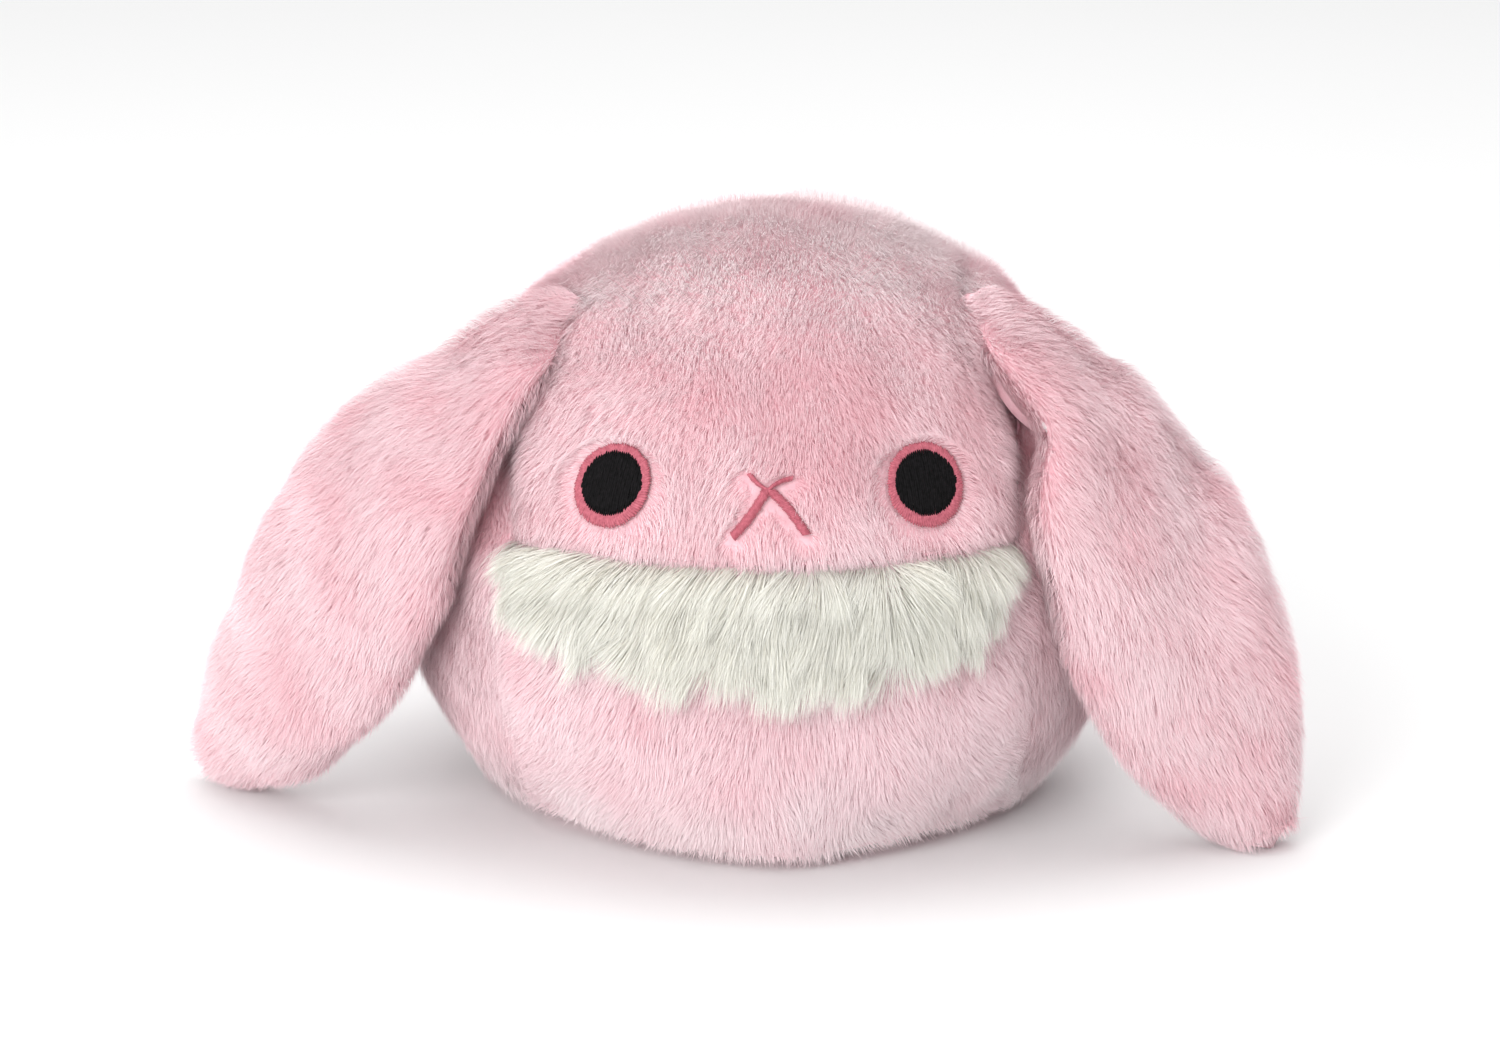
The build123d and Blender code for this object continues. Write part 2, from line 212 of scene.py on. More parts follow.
# --- Meshes ---------------------------------------------------------------------------
def new_mesh(name, points, triangles):
    """A smooth triangle mesh object from millimetre points."""
    mesh = bpy.data.meshes.new(name)
    mesh.vertices.add(len(points))
    mesh.vertices.foreach_set("co", (points * MM).astype(np.float32).ravel())
    mesh.loops.add(3 * len(triangles))
    mesh.loops.foreach_set("vertex_index", triangles.astype(np.int32).ravel())
    mesh.polygons.add(len(triangles))
    mesh.polygons.foreach_set("loop_start", np.arange(0, 3 * len(triangles), 3, dtype=np.int32))
    mesh.update(calc_edges=True)
    mesh.polygons.foreach_set("use_smooth", np.ones(len(triangles), bool))
    piece = bpy.data.objects.new(name, mesh)
    bpy.context.scene.collection.objects.link(piece)
    return piece


def thicken(piece, thickness):
    """Gives a fabric its thickness, inwards."""
    modifier = piece.modifiers.new("thickness", "SOLIDIFY")
    modifier.thickness = thickness * MM
    modifier.offset = -1


def finish_piece(piece, body, material):
    """Gives a piece its material and body. A piece that bends has no body here."""
    piece.data.materials.append(material)
    if body:
        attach(piece, body)
    return piece


# --- Materials ------------------------------------------------------------------------
def new_material(name, roughness, sheen=0.0, specular=0.3):
    material = bpy.data.materials.new(name)
    material.use_nodes = True
    shader = material.node_tree.nodes["Principled BSDF"]
    shader.inputs["Roughness"].default_value = roughness
    shader.inputs["Specular IOR Level"].default_value = specular
    shader.inputs["Sheen Weight"].default_value = sheen
    shader.inputs["Sheen Roughness"].default_value = 0.5
    shader.inputs["Sheen Tint"].default_value = (1, 1, 1, 1)
    return material, material.node_tree.nodes, material.node_tree.links, shader


def add_ramp(nodes, stops):
    ramp = nodes.new("ShaderNodeValToRGB")
    elements = ramp.color_ramp.elements
    while len(elements) < len(stops):
        elements.new(0.5)
    for element, (place, colour) in zip(elements, stops):
        element.position = place
        element.color = (*colour, 1)
    return ramp


def add_noise(nodes, links, scale, detail=2.0):
    """Noise of that many bumps a metre, fixed to the piece's own space."""
    place = nodes.new("ShaderNodeTexCoord")
    noise = nodes.new("ShaderNodeTexNoise")
    noise.inputs["Scale"].default_value = scale
    noise.inputs["Detail"].default_value = detail
    links.new(place.outputs["Object"], noise.inputs["Vector"])
    return noise


def add_mix(nodes, links, factor, first, second, blend="MIX"):
    mix = nodes.new("ShaderNodeMix")
    mix.data_type = "RGBA"
    mix.blend_type = blend
    sockets = [s for s in mix.inputs if s.enabled]
    for socket, value in zip(sockets, (factor, first, second)):
        if isinstance(value, bpy.types.NodeSocket):
            links.new(value, socket)
        else:
            socket.default_value = value if isinstance(value, float) else (*value, 1)
    return [s for s in mix.outputs if s.enabled][0]


def pile_material(name, root, middle, tip, strong, pale_and_lit):
    """Fibres deep at the root and whitish at the tip, with a second value per fibre that deepens
    them with painted shade and their own tone, and whitens them with painted light and their own
    tone.
    """
    material, nodes, links, shader = new_material(name, 0.8, sheen=0.4, specular=0.1)
    along = nodes.new("ShaderNodeAttribute")
    along.attribute_name = "along"
    tint_and_shading = nodes.new("ShaderNodeAttribute")
    tint_and_shading.attribute_name = "tint_and_shading"
    fibre = add_ramp(nodes, [(0.0, root), (0.5, middle), (1.0, tip)])
    links.new(along.outputs["Fac"], fibre.inputs["Fac"])
    # A low value of the second attribute deepens the colour: partly the fibres' own tone, partly
    # painted shade.
    deep = tuple(c ** 2.2 for c in strong)
    shades = add_ramp(nodes, [(0.0, deep), (0.25, strong), (0.5, (1, 1, 1))])
    links.new(tint_and_shading.outputs["Fac"], shades.inputs["Fac"])
    dyed_and_shaded = add_mix(nodes, links, 1.0, fibre.outputs["Color"], shades.outputs["Color"], "MULTIPLY")
    # A high value mixes in the whitish colour: partly the fibres' own tone, partly painted light.
    share = add_ramp(nodes, [(0.6, (0, 0, 0)), (1.0, (0.75, 0.75, 0.75))])
    links.new(tint_and_shading.outputs["Fac"], share.inputs["Fac"])
    dyed_and_shaded = add_mix(nodes, links, share.outputs["Color"], dyed_and_shaded, pale_and_lit)
    noise = add_noise(nodes, links, PATCHES_PER_METRE)
    patches = add_ramp(nodes, [(0.35, strong), (0.65, (1, 1, 1))])
    links.new(noise.outputs["Fac"], patches.inputs["Fac"])
    mottled = add_mix(nodes, links, 1.0, dyed_and_shaded, patches.outputs["Color"], "MULTIPLY")
    links.new(add_mix(nodes, links, 0.35, dyed_and_shaded, mottled), shader.inputs["Base Color"])
    return material


def add_grain(nodes, links, shader, noise, stops):
    """Colours the surface by its noise."""
    colours = add_ramp(nodes, stops)
    links.new(noise.outputs["Fac"], colours.inputs["Fac"])
    links.new(colours.outputs["Color"], shader.inputs["Base Color"])


def add_relief(nodes, links, shader, noise, strength, distance):
    """A bump of the same grain, that many metres high."""
    relief = nodes.new("ShaderNodeBump")
    relief.inputs["Strength"].default_value = strength
    relief.inputs["Distance"].default_value = distance
    links.new(noise.outputs["Fac"], relief.inputs["Height"])
    links.new(relief.outputs["Normal"], shader.inputs["Normal"])


def cloth_material(name, low, high, scale=900.0, strength=0.4):
    """A knitted or felted ground: fine mottling and a bump of the same grain."""
    material, nodes, links, shader = new_material(name, 0.9, sheen=0.2)
    noise = add_noise(nodes, links, scale, 3.0)
    add_grain(nodes, links, shader, noise, [(0.35, low), (0.65, high)])
    add_relief(nodes, links, shader, noise, strength, 0.0003)
    return material


def thread_material(name, low, high, roughness=0.45, sheen=0.3, specular=0.3):
    """Twisted embroidery thread: fine strands that catch the light."""
    material, nodes, links, shader = new_material(name, roughness, sheen=sheen, specular=specular)
    noise = add_noise(nodes, links, 2600.0)
    add_grain(nodes, links, shader, noise, [(0.3, low), (0.7, high)])
    add_relief(nodes, links, shader, noise, 0.3, 0.0001)
    return material


PINK_PILE = pile_material(
    "pink_pile", (0.87, 0.58, 0.63), (0.91, 0.69, 0.73), (0.96, 0.83, 0.85), (0.94, 0.76, 0.79),
    (0.97, 0.93, 0.93),
)
CREAM_PILE = pile_material(
    "cream_pile", (0.70, 0.68, 0.61), (0.77, 0.76, 0.70), (0.82, 0.82, 0.77), (0.95, 0.93, 0.88),
    (0.86, 0.86, 0.82),
)
PINK_GROUND = cloth_material("pink_ground", (0.74, 0.42, 0.47), (0.82, 0.52, 0.57))
CREAM_GROUND = cloth_material("cream_ground", (0.66, 0.60, 0.50), (0.78, 0.74, 0.64))
BLACK_THREAD = thread_material(
    "black_thread", (0.002, 0.002, 0.002), (0.008, 0.007, 0.008), 0.7, 0.0, 0.08
)
ROSE_THREAD = thread_material("rose_thread", (0.34, 0.07, 0.10), (0.50, 0.13, 0.17), 0.6, 0.1)
PINK_THREAD = thread_material("pink_thread", (0.62, 0.25, 0.32), (0.74, 0.38, 0.45))
BACKING_CLOTH = cloth_material("backing_cloth", (0.72, 0.72, 0.72), (0.86, 0.86, 0.86), 700.0)
POUCH_CLOTH = cloth_material("pouch_cloth", (0.66, 0.62, 0.52), (0.80, 0.76, 0.68), 1200.0)
PELLET_PLASTIC = cloth_material(
    "pellet_plastic", (0.78, 0.78, 0.75), (0.84, 0.84, 0.82), 300.0, 0.1
)
FIBRE_FILLING = cloth_material("fibre_filling", (0.80, 0.80, 0.80), (0.93, 0.93, 0.93), 500.0, 0.6)


# --- Body -----------------------------------------------------------------------------
def degrees_from(rays, azimuth, elevation):
    return np.degrees(np.arccos(np.clip(rays @ ray(azimuth, elevation), -1, 1)))


def seam_valleys(points):
    """How far the seams pull the skin in, for points on the plain ball."""
    x, y, z = points.T
    front = y < CROWN_SEAM_Y
    middle = np.abs(x) < SIDE_SEAM_X
    over_base = smoothstep(2, 8, z)
    sides = over_base * (0.1 + 0.9 * smoothstep(36, 44, z)) * (1 - 0.75 * smoothstep(54, 62, z))
    depth = 1.7 * bump(x + SIDE_SEAM_X, 1.8) * sides
    depth += 1.6 * bump(x - SIDE_SEAM_X, 1.8) * sides
    depth += 1.2 * bump(z - NECK_SEAM_Z, 1.4) * front * middle
    depth += 0.3 * bump(y - CROWN_SEAM_Y, 1.5) * middle * (z > CENTRE[2])
    depth += 0.8 * bump(x, 1.4) * ~front * over_base
    # The cheek behind the face's right edge is pulled in under the ear's root.
    cheek = smoothstep(27.0, 29.0, x) * (1 - smoothstep(35.0, 38.5, x))
    cheek *= smoothstep(33, 42, z) * (1 - smoothstep(58, 67, z)) * (y < 0)
    return np.maximum(depth, 1.0 * cheek)


def ball_skin(rays):
    """The body's surface along each direction from the ball's centre."""
    azimuth = np.arctan2(rays[:, 0], -rays[:, 1])
    elevation = np.arcsin(np.clip(rays[:, 2], -1, 1))
    edge = -math.asin(CENTRE[2] / BALL_RADIUS)
    level = BALL_RADIUS * np.cos(np.maximum(elevation, edge))
    level *= np.clip((math.pi / 2 + elevation) / (math.pi / 2 + edge), 0, 1)
    height = CENTRE[2] + BALL_RADIUS * np.sin(np.maximum(elevation, edge))
    height = 0.35 + (height + np.sqrt(height**2 + 1.5)) / 2
    plain = np.stack([level * np.sin(azimuth), -level * np.cos(azimuth), height], axis=1)

    swell = 1.3 * bump(degrees_from(rays, 0, 24), 13)
    swell += 0.5 * bump(degrees_from(rays, 0, -8), 40)
    for side in (-1, 1):
        swell -= 0.5 * bump(degrees_from(rays, side * EYE_AZIMUTH, EYE_ELEVATION), 7)
        swell += 0.5 * bump(degrees_from(rays, side * 50, 44), 17)
        swell -= 0.6 * bump(degrees_from(rays, side * 85, 42), 20)
    swell += 0.35 * waves(plain, 30, 11) + 0.2 * waves(plain, 12, 12)
    swell -= seam_valleys(plain)
    # A little pleat beside the right ear's root.
    pleat = bump(plain[:, 2] - 65.5, 4.0) * (plain[:, 1] < 0)
    swell += pleat * (0.9 * bump(plain[:, 0] - 25.5, 1.5) - 0.9 * bump(plain[:, 0] - 22.8, 1.2))
    swell *= smoothstep(0, 6, plain[:, 2])
    points = plain + rays * swell[:, None]

    # The lower edge comes to a blunt point in front, and the crown leans a little.
    low = 1 - smoothstep(2, 24, points[:, 2])
    power = 1.55
    pull = (np.abs(np.sin(azimuth)) ** power + np.abs(np.cos(azimuth)) ** power) ** (-1 / power)
    points[:, :2] *= (1 + (pull - 1) * low)[:, None]
    points[:, 0] += 1.5 * low * bump(np.degrees(azimuth), 40)
    points[:, 0] += 1.2 * smoothstep(45, 73, points[:, 2])
    return points


def body_rays():
    """A fine ball of triangles, cut along the seams, as directions and corner numbers."""
    made = bmesh.new()
    bmesh.ops.create_icosphere(made, subdivisions=6, radius=BALL_RADIUS)
    lift = NECK_SEAM_Z - CENTRE[2]
    for place, facing in (
        ((SIDE_SEAM_X, 0, 0), (1, 0, 0)),
        ((-SIDE_SEAM_X, 0, 0), (1, 0, 0)),
        ((0, CROWN_SEAM_Y, 0), (0, 1, 0)),
        ((0, 0, lift), (0, 0, 1)),
        ((0, 0, BASE_SEAM_Z - CENTRE[2]), (0, 0, 1)),
        ((0, 0, 0), (1, 0, 0)),
    ):
        whole = made.verts[:] + made.edges[:] + made.faces[:]
        bmesh.ops.bisect_plane(made, geom=whole, dist=0.02, plane_co=place, plane_no=facing)
    bmesh.ops.triangulate(made, faces=made.faces[:])
    made.verts.ensure_lookup_table()
    points = np.array([v.co for v in made.verts])
    triangles = np.array([[v.index for v in f.verts] for f in made.faces])
    made.free()
    return unit(points), triangles


PANELS = {
    "face": "face_panel",
    "belly": "belly_panel",
    "back_left": "back_panel_left",
    "back_right": "back_panel_right",
    "side_left": "side_panel_left",
    "side_right": "side_panel_right",
    "base": "base_panel",
}


def panel_of(plain):
    """The panel that each point of the plain ball belongs to."""
    x, y, z = plain.T
    names = np.where(z > NECK_SEAM_Z, "face", "belly").astype("<U10")
    names[y > CROWN_SEAM_Y] = np.where(x[y > CROWN_SEAM_Y] < 0, "back_left", "back_right")
    names[x > SIDE_SEAM_X] = "side_right"
    names[x < -SIDE_SEAM_X] = "side_left"
    names[z < BASE_SEAM_Z] = "base"
    return names


def sample(points, normals, triangles, density, rng):
    """Places spread over the triangles, with their normals: so many to the square millimetre."""
    a, b, c = (points[triangles[:, k]] for k in range(3))
    areas = np.linalg.norm(np.cross(b - a, c - a), axis=1) / 2
    count = int(areas.sum() * density)
    sums = np.cumsum(areas)
    which = np.searchsorted(sums, rng.random(count) * sums[-1])
    u, v = np.sqrt(rng.random(count)), rng.random(count)
    shares = np.stack([1 - u, u * (1 - v), u * v], axis=1)[:, :, None]
    corners = triangles[np.minimum(which, len(triangles) - 1)]
    return (points[corners] * shares).sum(1), unit((normals[corners] * shares).sum(1))


# --- Fibres ---------------------------------------------------------------------------
def bend(roots, normals, combed, length, lean_low, lean_high, knots):
    """Each fibre's points: it leaves at lean_low from the normal and ends at lean_high."""
    points = [roots]
    step = (length / (knots - 1))[:, None]
    for k in range(knots - 1):
        t = k / max(knots - 2, 1)
        lean = np.radians(lean_low + (lean_high - lean_low) * t)[:, None]
        points.append(points[-1] + step * (normals * np.cos(lean) + combed * np.sin(lean)))
    return np.stack(points, axis=1)


def fibres(name, paths, normals, width, tint_and_shading, rng):
    """Tapered ribbons along the paths, as one or more pieces with few enough triangles."""
    knots = paths.shape[1]
    per_fibre = 2 * (knots - 2) + 1
    share = int(math.ceil(len(paths) * per_fibre / MOST_TRIANGLES))
    pieces = []
    for part in range(share):
        chosen = slice(part, None, share)
        label = name if share == 1 else f"{name}_{part + 1}"
        pieces.append(
            fibre_piece(label, paths[chosen], normals[chosen], width[chosen], tint_and_shading[chosen], rng)
        )
    return pieces


def fibre_widths(count, rng, factor=1.0):
    return FIBRE_WIDTH * factor * rng.uniform(0.7, 1.3, count)


def fibre_piece(name, paths, normals, width, tint_and_shading, rng):
    """One mesh of ribbons, with each fibre's level and its colour value, partly painted light and
    shade, and a place for it in the bake.
    """
    count, knots = paths.shape[:2]
    run = unit(paths[:, -1] - paths[:, 0])
    across = unit(np.cross(run, normals))
    turn = np.radians(rng.uniform(-22, 22, count))[:, None]
    side = across * np.cos(turn) + np.cross(run, across) * np.sin(turn)
    taper = (1 - np.arange(knots - 1) / (knots - 1)) ** 0.7
    outward = np.sign((np.cross(side, run) * normals).sum(1, keepdims=True) + TINY)
    side = side * outward
    half = side[:, None] * (width[:, None] * taper)[:, :, None] / 2
    pairs = np.stack([paths[:, :-1] - half, paths[:, :-1] + half], axis=2)
    points = np.concatenate([pairs.reshape(count, -1, 3), paths[:, -1:]], axis=1)
    per_fibre = points.shape[1]
    points[..., 2] = np.maximum(points[..., 2], FLOOR_CLEARANCE)

    pattern = []
    for k in range(knots - 2):
        pattern += [(2 * k, 2 * k + 1, 2 * k + 3), (2 * k, 2 * k + 3, 2 * k + 2)]
    pattern.append((2 * knots - 4, 2 * knots - 3, 2 * knots - 2))
    triangles = np.arange(count)[:, None, None] * per_fibre + np.array(pattern)
    piece = new_mesh(name, points.reshape(-1, 3), triangles.reshape(-1, 3))

    level = np.append(np.repeat(np.arange(knots - 1), 2), knots - 1) / (knots - 1)
    edge = np.append(np.tile([0.0, 1.0], knots - 1), 0.5)
    add_value(piece, "along", np.tile(level, count))
    add_value(piece, "tint_and_shading", np.repeat(tint_and_shading, per_fibre))
    columns = int(math.ceil(math.sqrt(count * 1.25)))
    rows = int(math.ceil(count / columns))
    index = np.arange(count)[:, None]
    u = (index % columns + 0.15 + 0.7 * edge) / columns
    v = (index // columns + 0.1 + 0.8 * level) / rows
    uv = np.stack([u, v], axis=2).reshape(-1, 2)[triangles.reshape(-1)]
    layer = piece.data.uv_layers.new(name="OFBake")
    layer.data.foreach_set("uv", uv.astype(np.float32).ravel())
    return piece


def add_value(piece, name, values):
    attribute = piece.data.attributes.new(name, "FLOAT", "POINT")
    attribute.data.foreach_set("value", values.astype(np.float32))


# --- The body's pile ------------------------------------------------------------------
def near_line(across, up, start, end):
    """Distance of the points (across, up) from the straight stitch between start and end."""
    start, end = np.array(start), np.array(end)
    run = end - start
    to = np.stack([across, up], axis=1) - start
    t = np.clip(to @ run / (run @ run), 0, 1)
    offset = to - t[:, None] * run
    return np.linalg.norm(offset, axis=1), offset


# From the nose's place, across and up: two mouth arms, then two nose stitches.
MOUTH_LINES = [
    ((0.3, 0.2), (4.4, -4.7)),
    ((-0.3, 0.2), (-4.0, -4.8)),
    ((-0.2, 0.2), (2.6, 1.8)),
    ((0.2, 0.2), (-2.2, 2.2)),
]
NOSE_UP = np.array(
    [0, math.sin(math.radians(NOSE_ELEVATION)), math.cos(math.radians(NOSE_ELEVATION))]
)


def body_pile(name, roots, normals, rng):
    """Combs, shortens and thins the fibres of one panel, and makes them."""
    x, y, z = roots.T
    rays = unit(roots - CENTRE)
    if name in ("face", "belly"):
        combed = np.cross([1.0, 0, 0], normals)
        combed[:, 0] += 0.55 * x / SIDE_SEAM_X
    elif name.startswith("back"):
        combed = np.cross([-1.0, 0, 0], normals)
    else:
        combed = np.tile([0.0, -0.15, -1.0], (len(roots), 1))
    combed = tangent(combed, normals)
    combed = combed + 0.22 * wave_vectors(roots, 15, 21) + 0.05 * wave_vectors(roots, 4, 31)
    combed = tangent(combed + 0.12 * rng.normal(size=roots.shape), normals)
    length = np.full(len(roots), 2.8 if name == "face" else 3.1)
    length *= 1 + 0.04 * waves(roots, 6, 41)
    keep = np.ones(len(roots), bool)
    lean_low = 32 + 2.5 * waves(roots, 9, 51)
    lean_high = 72 + 2.5 * waves(roots, 6, 52)
    # A little more upright where the face's pile and the back's part over the crown.
    parting = bump(y - CROWN_SEAM_Y, 8.0) * smoothstep(50, 60, z)
    lean_low = lean_low * (1 - 0.35 * parting)
    lean_high = lean_high * (1 - 0.12 * parting)

    if name == "face":
        for side in (-1, 1):
            middle = ray(side * EYE_AZIMUTH, EYE_ELEVATION)
            reach = np.radians(degrees_from(rays, side * EYE_AZIMUTH, EYE_ELEVATION)) * BALL_RADIUS
            keep &= reach > EYE_RING_RADIUS - 0.45 + 0.35 * rng.random(len(roots))
            close = 1 - smoothstep(EYE_RING_RADIUS, EYE_RING_RADIUS + 3.0, reach)
            away = tangent(rays - middle, normals)
            combed = tangent(combed + 1.4 * close[:, None] * away, normals)
            length *= 1 - 0.55 * close
        place = CENTRE + BALL_RADIUS * ray(0, NOSE_ELEVATION)
        across, up = x, (roots - place) @ NOSE_UP
        for start, end in MOUTH_LINES:
            gap, offset = near_line(across, up, start, end)
            keep &= gap > 0.45
            close = 1 - smoothstep(0.4, 2.4, gap)
            away = offset[:, :1] * np.array([[1.0, 0, 0]]) + offset[:, 1:] * NOSE_UP
            combed = tangent(combed + 1.2 * close[:, None] * tangent(away, normals), normals)
            length *= 1 - 0.62 * close
    if name == "base":
        length *= 0.35
        lean_low, lean_high = lean_low + 55, lean_high + 15
    # Short where the seams pull the skin in, and under the ears' roots.
    length *= 1 - 0.25 * np.clip(seam_valleys(roots), 0, 2)
    for side in (-1, 1):
        turned = degrees_from(rays, side * EAR_ROOT_AZIMUTH, EAR_ROOT_ELEVATION)
        length *= 0.45 + 0.55 * smoothstep(6, 11, turned * MM_PER_DEGREE)
    length *= 1 + 0.10 * rng.normal(size=len(roots))
    paths = bend(
        roots - ROOT_DEPTH * normals, normals, combed, length,
        lean_low + 6 * rng.normal(size=len(roots)), lean_high + 7 * rng.normal(size=len(roots)),
        PILE_KNOTS,
    )
    tint_and_shading = 0.52 + 0.06 * waves(roots, 12, 61) + 0.06 * rng.normal(size=len(roots))
    tint_and_shading -= 0.24 * bump(degrees_from(rays, 4, 44), 24)
    # Painted shade: the fibres are deeper in colour where the face tucks in beside the ears, in
    # the creases that the ears shade.
    tuck_shade = smoothstep(28.5, 31, x) * (1 - smoothstep(36, 40, x)) * (1 - smoothstep(-18, -10, y))
    tint_and_shading -= 0.45 * tuck_shade * bump(z - 50, 14)
    tint_and_shading -= 0.50 * bump(x + 33.5, 2.2) * bump(z - 47, 8) * (y < 0)
    # Painted light: paler towards the crown, where light catches the fibre tips, and towards the
    # bottom, where light comes up from the floor.
    tint_and_shading += 0.48 * smoothstep(59, 70, z) + 0.3 * (1 - smoothstep(4, 16, z))
    tint_and_shading = np.clip(tint_and_shading, 0, 1)
    width = fibre_widths(len(roots), rng)
    return fibres(f"{name}_pile", paths[keep], normals[keep], width[keep], tint_and_shading[keep], rng)


def make_body():
    """The panels' skins and pile. Returns the whole skin, and the panel of each triangle."""
    rays, triangles = body_rays()
    points = ball_skin(rays)
    normals = vertex_normals(points, triangles)
    middles = unit(rays[triangles].mean(1)) * BALL_RADIUS + CENTRE
    owners = panel_of(middles)
    for number, (name, node) in enumerate(PANELS.items()):
        rng = np.random.default_rng(100 + number)
        own = triangles[owners == name]
        used, renumbered = np.unique(own, return_inverse=True)
        skin = new_mesh(f"{name}_skin", points[used], renumbered.reshape(-1, 3))
        thicken(skin, SKIN_THICKNESS)
        finish_piece(skin, "torso", PINK_GROUND)
        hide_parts(node)
        density = PILE_DENSITY * (0.3 if name == "base" else 1.0)
        roots, root_normals = sample(points, normals, own, density, rng)
        for piece in body_pile(name, roots, root_normals, rng):
            finish_piece(piece, "torso", PINK_PILE)
    return points, normals, triangles, owners


# --- Ears -----------------------------------------------------------------------------
def ear_frame(side):
    """Hinge, along, outwards and forwards of an ear, as if it were the left one."""
    joints = {j["name"]: j for j in frame["joints"]}
    flip = np.array([1.0 if side == "left" else -1.0, 1, 1])
    hinge = np.array(joints[f"ear_lift_{side}"]["pos_m"]) / MM * flip
    sign = 1.0 if side == "left" else -1.0
    outwards = unit(sign * np.array(joints[f"ear_swing_{side}"]["axis"])) * flip
    forwards = unit(-sign * np.array(joints[f"ear_lift_{side}"]["axis"])) * flip
    along = unit(np.cross(forwards, outwards))
    lift = math.radians(EAR_LIFT[side])
    lifted = along * math.cos(lift) + outwards * math.sin(lift)
    return hinge, lifted, outwards * math.cos(lift) - along * math.sin(lift), forwards


def ear_surface(side):
    """The ear in the left ear's place: points, triangles, which are outer, and its run there."""
    hinge, along, outwards, forwards = ear_frame(side)
    stations = EAR_STATIONS[side]
    s = stations[0, 0] + (stations[-1, 0] - stations[0, 0]) * np.linspace(0, 1, EAR_ROWS)
    rise, half, thick, twist, bow = (
        curve_through(stations[:, 0], stations[:, k], s) for k in range(1, 6)
    )
    middles = hinge + s[:, None] * along + rise[:, None] * outwards + bow[:, None] * forwards
    runs = unit(np.gradient(middles, axis=0))
    twist = np.radians(twist)[:, None]
    widths = tangent(forwards * np.cos(twist) - np.cross(runs, forwards) * np.sin(twist), runs)
    outs = np.cross(runs, widths)
    angles = np.linspace(0, 2 * math.pi, EAR_ROUND, endpoint=False)
    points = (
        middles[:, None]
        + widths[:, None] * (half[:, None] * np.cos(angles))[..., None]
        + outs[:, None] * (thick[:, None] * np.sin(angles))[..., None]
    )
    grid, triangles = ring_triangles(EAR_ROWS, EAR_ROUND)
    outer_half = np.arange(EAR_ROUND) < EAR_ROUND // 2
    outer = np.tile(outer_half, 2 * (EAR_ROWS - 1))
    tips = middles[[0, -1]] + runs[[0, -1]] * np.array([[-0.6], [1.2]])
    points = np.concatenate([points.reshape(-1, 3), tips])
    first, last = len(points) - 2, len(points) - 1
    for ring, tip, flip in ((grid[0], first, True), (grid[-1], last, False)):
        fan = np.stack([ring, np.roll(ring, -1), np.full(EAR_ROUND, tip)], 1)
        triangles = np.concatenate([triangles, fan[:, ::-1] if flip else fan])
        outer = np.concatenate([outer, outer_half])
    runs = np.concatenate([np.repeat(runs, EAR_ROUND, 0), runs[[0, -1]]])
    return points, triangles, outer, runs


def make_ear(side):
    """An ear's front and back skins and pile, attached to no body."""
    points, triangles, outer, runs = ear_surface(side)
    hinge, along = ear_frame(side)[:2]
    points = points + 0.3 * vertex_normals(points, triangles) * waves(points, 16, 71)[:, None]
    if side == "right":
        mirrored = np.array([-1.0, 1, 1])
        points, runs, hinge, along = (v * mirrored for v in (points, runs, hinge, along))
        triangles = triangles[:, ::-1]
    normals = vertex_normals(points, triangles)
    if ((points - points.mean(0)) * normals).sum() < 0:
        triangles, normals = triangles[:, ::-1], -normals
    for half, chosen in (("front", outer), ("back", ~outer)):
        own = triangles[chosen]
        used, renumbered = np.unique(own, return_inverse=True)
        skin = new_mesh(f"ear_{half}_skin_{side}", points[used], renumbered.reshape(-1, 3))
        thicken(skin, EAR_SKIN_THICKNESS)
        finish_piece(skin, None, PINK_GROUND)
        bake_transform(skin)
        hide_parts(f"ear_{half}_panel_{side}")
        rng = np.random.default_rng(200 + (side == "right") * 2 + (half == "back"))
        roots, root_normals = sample(points, normals, own, PILE_DENSITY, rng)
        combed = tangent(runs[nearest(points, roots)], root_normals)
        combed = combed + 0.20 * wave_vectors(roots, 15, 81) + 0.05 * wave_vectors(roots, 4, 91)
        combed = tangent(combed + 0.12 * rng.normal(size=roots.shape), root_normals)
        count = len(roots)
        length = 3.1 * (1 + 0.04 * waves(roots, 6, 95) + 0.1 * rng.normal(size=count))
        paths = bend(
            roots - ROOT_DEPTH * root_normals, root_normals, combed, length,
            32 + 5 * rng.normal(size=count) + 2.5 * waves(roots, 9, 96),
            72 + 6 * rng.normal(size=count), PILE_KNOTS,
        )
        tint_and_shading = np.clip(0.46 + 0.08 * waves(roots, 12, 97) + 0.06 * rng.normal(size=count), 0, 1)
        width = fibre_widths(count, rng)
        for piece in fibres(f"ear_{half}_pile_{side}", paths, root_normals, width, tint_and_shading, rng):
            finish_piece(piece, None, PINK_PILE)
            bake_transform(piece)


# --- Ruff -----------------------------------------------------------------------------
def ruff_drop(x):
    """How far the ruff's fibres reach below the neck seam."""
    drop = 7.5 + 10.0 * np.clip(1 - (x / 33.0) ** 2, 0, 1) ** 0.8
    drop += 0.9 * np.sin(x * 0.55 + 0.8) + 0.7 * np.sin(x * 1.3 + 2.0)
    return drop * (1 - 0.5 * smoothstep(25, 31, x))


